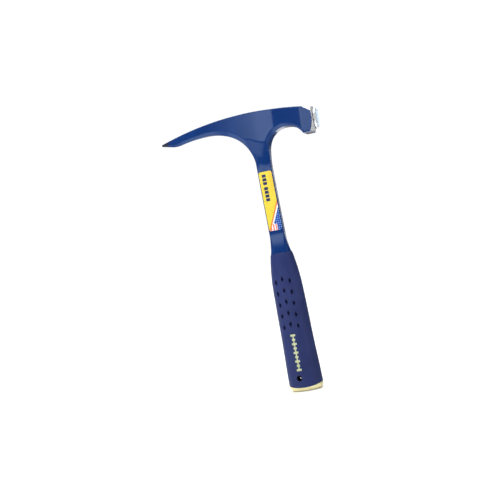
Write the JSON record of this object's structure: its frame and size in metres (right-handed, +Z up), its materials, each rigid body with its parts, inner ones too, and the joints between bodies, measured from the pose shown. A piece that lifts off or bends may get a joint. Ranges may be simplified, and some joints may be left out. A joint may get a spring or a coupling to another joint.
{
  "type": "rock hammer",
  "caption": "One-piece forged rock hammer with a pointed pick, a square striking poll, a flat shank and a moulded oval grip with a lanyard hole.",
  "frame": {"origin": "centre of the small flat on the butt, on the handle's axis", "axes": "+Z up the handle to the head, +X towards the striking face (the pick points to -X), Y across the thickness"},
  "size_m": [0.1933, 0.03, 0.33],
  "materials": {
    "blue_enamel": "gloss enamel on forged steel, with a bare polished striking face and bevel",
    "blue_vinyl": "matt moulded vinyl",
    "cream_nylon": "satin moulded nylon",
    "label_film": "printed gloss film"
  },
  "bodies": {
    "root": {"steel_forging": "blue_enamel", "grip_core": "blue_vinyl", "vinyl_grip": "blue_vinyl", "end_cap": "cream_nylon", "label_front": "label_film", "label_back": "label_film", "grip_mark_front": "cream_nylon", "grip_mark_back": "cream_nylon"}
  },
  "joints": []
}
